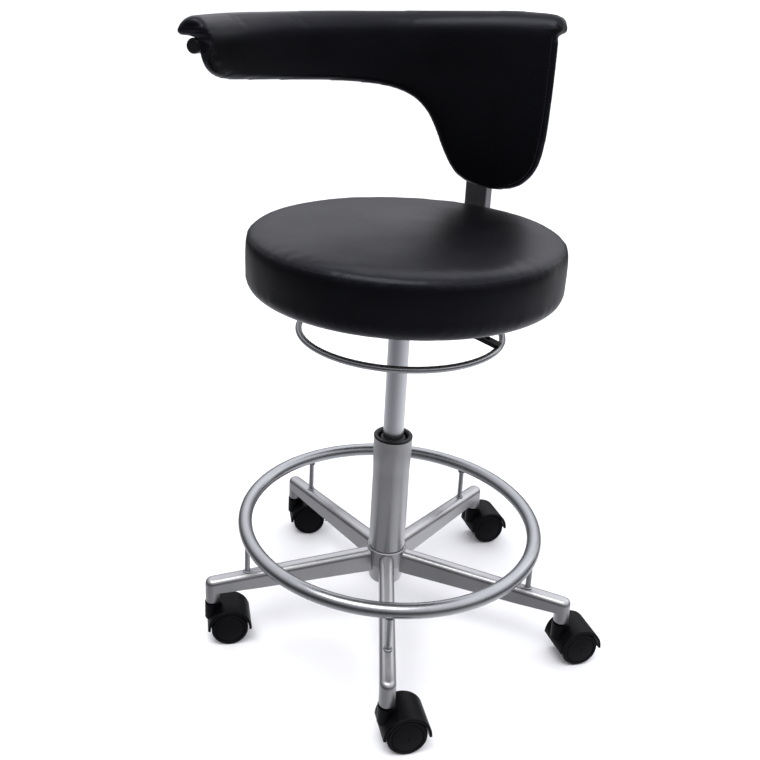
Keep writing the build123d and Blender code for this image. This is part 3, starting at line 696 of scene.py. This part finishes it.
def back_seam(outline):
    """The line where the back panel is sewn to the cover, below the frame tube."""
    rim = inset_path(outline, 0.0070)
    below = rim[rim[:, 1] < 0.7760]
    return np.array([(a, h, PAD_THICK) for a, h in even_path(below, 0.0012)])


def gather(cover, centre, reach, depth, folds):
    """Small pleats fanning out from a corner where the cover is drawn together."""
    co = points_of(cover)
    away = co - np.array(centre)
    turn = np.arctan2(away[:, 1], away[:, 0])
    fan = 0.6 * np.sin(folds * turn + 0.7) + 0.4 * np.sin(1.7 * folds * turn + 2.0)
    fade = np.exp(-(np.linalg.norm(away, axis=1) / reach) ** 2)
    move_points(cover, co + normals_of(cover) * (depth * fan * fade)[:, None])


def make_pad():
    """The crescent pad: a padded panel that thickens into a rolled top edge, under one cover."""
    outline = pad_outline()
    grown = inset_path(outline, -0.0012)
    panel = from_rings("panel", panel_rings(grown, PAD_THICK, edge=0.0055))
    roll = from_rings("roll", roll_rings())
    cover = join("arm_pad_upholstery", [panel, roll])
    remesh(cover, voxel=0.0032)
    smooth(cover, rounds=6)
    co = points_of(cover)
    held = (co[:, 2] > PAD_THICK - 0.003) & (co[:, 1] < 0.795)
    cloth_swell(cover, held, pressure=3.0, cap=0.0010)
    crown, crown_reach, front_depth = 0.0032, 0.020, 0.009
    co = points_of(cover)
    edge_away = distance_to(even_path(outline, 0.002), co[:, :2])
    front = np.clip(1 - co[:, 2] / front_depth, 0, 1)
    co[:, 2] -= crown * (1 - np.exp(-(edge_away / crown_reach) ** 1.5)) * front
    move_points(cover, co)
    subdivide(cover)
    rows = []
    for seam in end_seams(outline):
        carve(cover, seam, width=0.0010, depth=0.0008, fade=0.030)
        rows.append(seam + np.array([0, 0, -0.001]))
    carve(cover, back_seam(outline), width=0.0010, depth=0.0008, fade=0.020)
    right_corner = (-0.004, roll_top(0) - 0.016, 0.010)
    left_corner = (PAD_LENGTH + 0.008, roll_top(PAD_LENGTH) - 0.020, 0.014)
    gather(cover, right_corner, reach=0.015, depth=0.0005, folds=9)
    gather(cover, left_corner, reach=0.019, depth=0.0007, folds=8)
    move_points(cover, bend(points_of(cover)))
    tidy_normals(cover)
    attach(cover, "pad")
    dress(cover, "black_vinyl")
    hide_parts("pad_cushion", "pad_top_roll", "pad_board")
    bare = 12    # seam points at each end that get no stitches
    for name, row in zip(("pad_stitches_right", "pad_stitches_left"), rows):
        put_on_surface(name, cover, bend(row[bare:-bare]), "pad", closed=False)


# ---------- welds ----------
def weld_bead(centre, radius, thick):
    """Points of one irregular bead of weld round a post, with its ripples."""
    ripples = [rng.uniform(0.82, 1.18) for _ in range(28)]
    path = []
    for k, size in enumerate(ripples):
        t = 2 * math.pi * k / len(ripples)
        reach = radius * size ** 0.15
        path.append((centre[0] + reach * math.cos(t), centre[1] + reach * math.sin(t),
                     centre[2] + thick * 0.35 * (size - 1)))
    bead = tube("bead", smooth_path(path, 3, closed=True), thick, sides=8, closed=True)
    move_points(bead, points_of(bead) + normals_of(bead) * (thick * 0.14 * np.array(
        [math.sin(v.co.x * 2900) + math.sin(v.co.y * 3100) for v in bead.data.vertices]))[:, None])
    return bead


def make_welds():
    """Beads where the foot ring's posts meet the ring above and the legs below."""
    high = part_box("foot_ring_posts")[1].z
    posts = points_of(nodes["foot_ring_posts"])
    reach = np.hypot(posts[:, 0], posts[:, 1])
    middle, radius = (reach.max() + reach.min()) / 2, (reach.max() - reach.min()) / 2
    beads = []
    for number in range(5):
        turn = math.radians(72 * number - 90)
        x, y = middle * math.cos(turn), middle * math.sin(turn)
        leg_top = nodes["base_star"].ray_cast((x, y, high), (0, 0, -1))[1].z
        beads.append(weld_bead((x, y, leg_top + 0.0004), radius + 0.0006, thick=0.0015))
        beads.append(weld_bead((x, y, high - 0.0026), radius + 0.0006, thick=0.0013))
    welds = join("post_welds", beads)
    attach(welds, "base")
    dress(welds, "polished_chrome")


# ---------- stage and light ----------
def pale(name, glow=None):
    """A plain pale surface, lit or glowing."""
    made = bpy.data.materials.new(name)
    made.use_nodes = True
    shader = made.node_tree.nodes["Principled BSDF"]
    shader.inputs["Base Color"].default_value = (0.92, 0.92, 0.92, 1)
    shader.inputs["Roughness"].default_value = 0.9
    shader.inputs["Specular IOR Level"].default_value = 0.0
    if glow:
        shader.inputs["Emission Color"].default_value = (1, 1, 1, 1)
        shader.inputs["Emission Strength"].default_value = glow
    return made


def add_floor():
    """A white floor, and a far white wall all round it that only the camera sees."""
    reach, height, glow = 30.0, 30.0, 1.0
    turns = np.linspace(0, 2 * math.pi, 48, endpoint=False)
    around = [(reach * math.cos(t), reach * math.sin(t)) for t in turns]
    floor = new_object("floor", bpy.data.meshes.new("floor"))
    floor.data.from_pydata([(x, y, 0) for x, y in around], [], [tuple(range(len(around)))])
    floor.data.materials.append(pale("floor"))
    floor.visible_glossy = False
    wall = from_rings("backdrop", [[(0.98 * x, 0.98 * y, z) for x, y in around] for z in (-0.5, height)],
                      caps=False)
    wall.data.materials.append(pale("backdrop", glow))
    wall.visible_glossy = wall.visible_diffuse = wall.visible_shadow = False


def add_area(name, place, target, size, power):
    """A soft box of light at a place, turned towards a target."""
    data = bpy.data.lights.new(name, "AREA")
    data.shape = "RECTANGLE"
    data.size, data.size_y = size
    data.energy = power
    light = bpy.data.objects.new(name, data)
    aim = (Vector(target) - Vector(place)).to_track_quat("-Z", "Y").to_matrix().to_4x4()
    light.matrix_world = Matrix.Translation(place) @ aim
    bpy.context.scene.collection.objects.link(light)


def multiply_add(tree, value, factor, addend):
    """The value times a factor, plus a number or another socket's value."""
    node = put(tree, "ShaderNodeMath", {"operation": "MULTIPLY_ADD"})
    tree.links.new(value, node.inputs[0])
    node.inputs[1].default_value = factor
    if isinstance(addend, bpy.types.NodeSocket):
        tree.links.new(addend, node.inputs[2])
    else:
        node.inputs[2].default_value = addend
    return node.outputs[0]


def add_world():
    """A studio: white sheet below, dark room at eye level, bright ceiling, more light right and behind."""
    world = bpy.data.worlds.new("studio")
    world.use_nodes = True
    bpy.context.scene.world = world
    tree = world.node_tree
    direction = put(tree, "ShaderNodeTexCoord").outputs["Generated"]
    parts = put(tree, "ShaderNodeSeparateXYZ", Vector=direction)
    ramp = put(tree, "ShaderNodeValToRGB", Fac=multiply_add(tree, parts.outputs["Z"], 0.5, 0.5))
    levels = ((-1.0, 0.85), (-0.60, 0.75), (-0.42, 0.54), (-0.28, 0.31), (-0.14, 0.035), (0.02, 0.11),
              (0.12, 0.36), (0.22, 0.42), (0.36, 0.58), (0.52, 1.22), (1.0, 1.25))
    cool = (0.975, 0.980, 1.040)
    stops = ramp.color_ramp.elements
    for number, (height, value) in enumerate(levels):
        spot = (height + 1) / 2
        if number in (0, len(levels) - 1):
            stop = stops[0 if number == 0 else -1]
            stop.position = spot
        else:
            stop = stops.new(spot)
        stop.color = (*(value * part for part in cool), 1)
    right = multiply_add(tree, parts.outputs["X"], 0.45, 1.15)
    strength = multiply_add(tree, parts.outputs["Y"], 0.55, right)
    tree.links.new(ramp.outputs["Color"], tree.nodes["Background"].inputs["Color"])
    tree.links.new(strength, tree.nodes["Background"].inputs["Strength"])


def add_lights():
    bpy.context.scene.view_settings.view_transform = "Standard"
    add_world()
    target = (0, 0, 0.5)
    add_area("key", (-0.5, -1.0, 2.7), target, size=(2.0, 1.2), power=48)
    add_area("right", (1.7, 1.0, 0.8), target, size=(0.5, 1.6), power=2.2)


# ---------- build ----------
add_camera()
add_lights()
add_floor()
looks = make_materials()
dress_cad()
make_seat()
make_pad()
make_welds()
